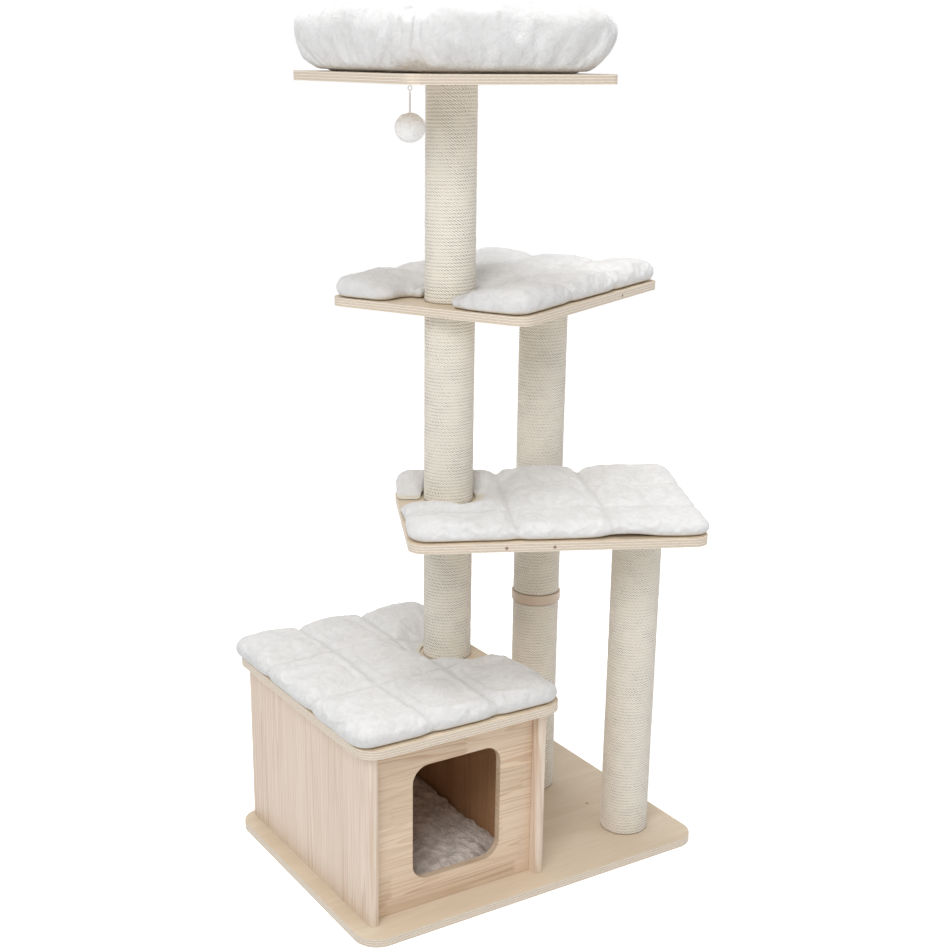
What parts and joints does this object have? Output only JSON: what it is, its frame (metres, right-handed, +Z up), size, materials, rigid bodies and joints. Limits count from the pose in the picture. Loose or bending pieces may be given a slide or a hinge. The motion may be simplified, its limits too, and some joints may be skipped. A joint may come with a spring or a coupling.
{
  "type": "cat tree",
  "caption": "Free-standing cat tree with a wooden cave, sisal-wound posts, plush-padded platforms, a top bed and a hanging plush ball.",
  "frame": {"origin": "centre of the base plate's flat underside, on the floor", "axes": "+Z up; +X along the base's long side, away from the cave; the cave's opening faces -Y"},
  "size_m": [0.838, 0.7903, 1.5203],
  "materials": {
    "plywood": "pale birch plywood, clear matt varnish, layered edges",
    "pine": "finger-jointed solid pine, clear matt varnish",
    "beech": "smooth turned beech",
    "sisal": "natural 6 mm sisal rope",
    "cardboard": "wound kraft cardboard tube",
    "plug_wood": "raw softwood disc",
    "steel": "zinc-plated steel",
    "white_plush": "white short-pile plush",
    "ball_plush": "white fluffy plush",
    "white_cord": "white twisted cord",
    "white_plastic": "white moulded plastic",
    "cotton": "natural cotton backing cloth",
    "grey_plush": "taupe-grey curly plush"
  },
  "bodies": {
    "frame": {"base_plate": "plywood", "house_top_plate": "plywood", "lower_platform": "plywood", "middle_platform": "plywood", "upper_platform": "plywood", "house_left_wall": "pine", "house_right_wall": "pine", "house_front_panel": "pine", "house_back_panel": "pine", "rear_spacer_ring": "beech", "main_post_lower_sisal": "sisal", "main_post_middle_sisal": "sisal", "main_post_upper_sisal": "sisal", "rear_post_lower_sisal": "sisal", "rear_post_upper_sisal": "sisal", "right_post_sisal": "sisal", "main_post_lower_tube": "cardboard", "main_post_middle_tube": "cardboard", "main_post_upper_tube": "cardboard", "rear_post_lower_tube": "cardboard", "rear_post_upper_tube": "cardboard", "right_post_tube": "cardboard", "main_post_lower_bottom_plug": "plug_wood", "main_post_lower_top_plug": "plug_wood", "main_post_middle_bottom_plug": "plug_wood", "main_post_middle_top_plug": "plug_wood", "main_post_upper_bottom_plug": "plug_wood", "main_post_upper_top_plug": "plug_wood", "rear_post_lower_bottom_plug": "plug_wood", "rear_post_lower_top_plug": "plug_wood", "rear_post_upper_bottom_plug": "plug_wood", "rear_post_upper_top_plug": "plug_wood", "right_post_bottom_plug": "plug_wood", "right_post_top_plug": "plug_wood", "main_post_foot_bolt": "steel", "main_post_lower_stud": "steel", "main_post_middle_stud": "steel", "main_post_head_bolt": "steel", "rear_post_foot_bolt": "steel", "rear_ring_stud": "steel", "rear_post_head_bolt": "steel", "right_post_foot_bolt": "steel", "right_post_head_bolt": "steel", "pompom_button": "white_plastic", "cave_cushion": "grey_plush"},
    "bed": {"bed_bolster": "white_plush", "bed_base_cushion": "cotton"},
    "house_pad_body": {"house_pad": "white_plush"},
    "lower_pad_body": {"lower_pad": "white_plush"},
    "middle_pad_body": {"middle_pad": "white_plush"},
    "eyelet": {"pompom_eyelet": "white_plastic"},
    "ball": {"pompom_cord": "white_cord", "pompom_ball": "ball_plush"}
  },
  "joints": [
    {"name": "bed_lift", "type": "slide", "parent": "frame", "child": "bed", "axis": [0, 0, 1], "range_m": [0, 0.3]},
    {"name": "house_pad_lift", "type": "slide", "parent": "frame", "child": "house_pad_body", "axis": [0, 0, 1], "range_m": [0, 0.2]},
    {"name": "lower_pad_lift", "type": "slide", "parent": "frame", "child": "lower_pad_body", "axis": [0, 0, 1], "range_m": [0, 0.25]},
    {"name": "middle_pad_lift", "type": "slide", "parent": "frame", "child": "middle_pad_body", "axis": [0, 0, 1], "range_m": [0, 0.2]},
    {"name": "ball_swing_side", "type": "hinge", "parent": "frame", "child": "eyelet", "pos_m": [-0.109, 0.03, 1.3975], "axis": [0.9659, 0.259, 0], "range_deg": [-30, 30]},
    {"name": "ball_swing_out", "type": "hinge", "parent": "eyelet", "child": "ball", "pos_m": [-0.109, 0.03, 1.3875], "axis": [-0.259, 0.9659, 0], "range_deg": [-12, 30]}
  ]
}
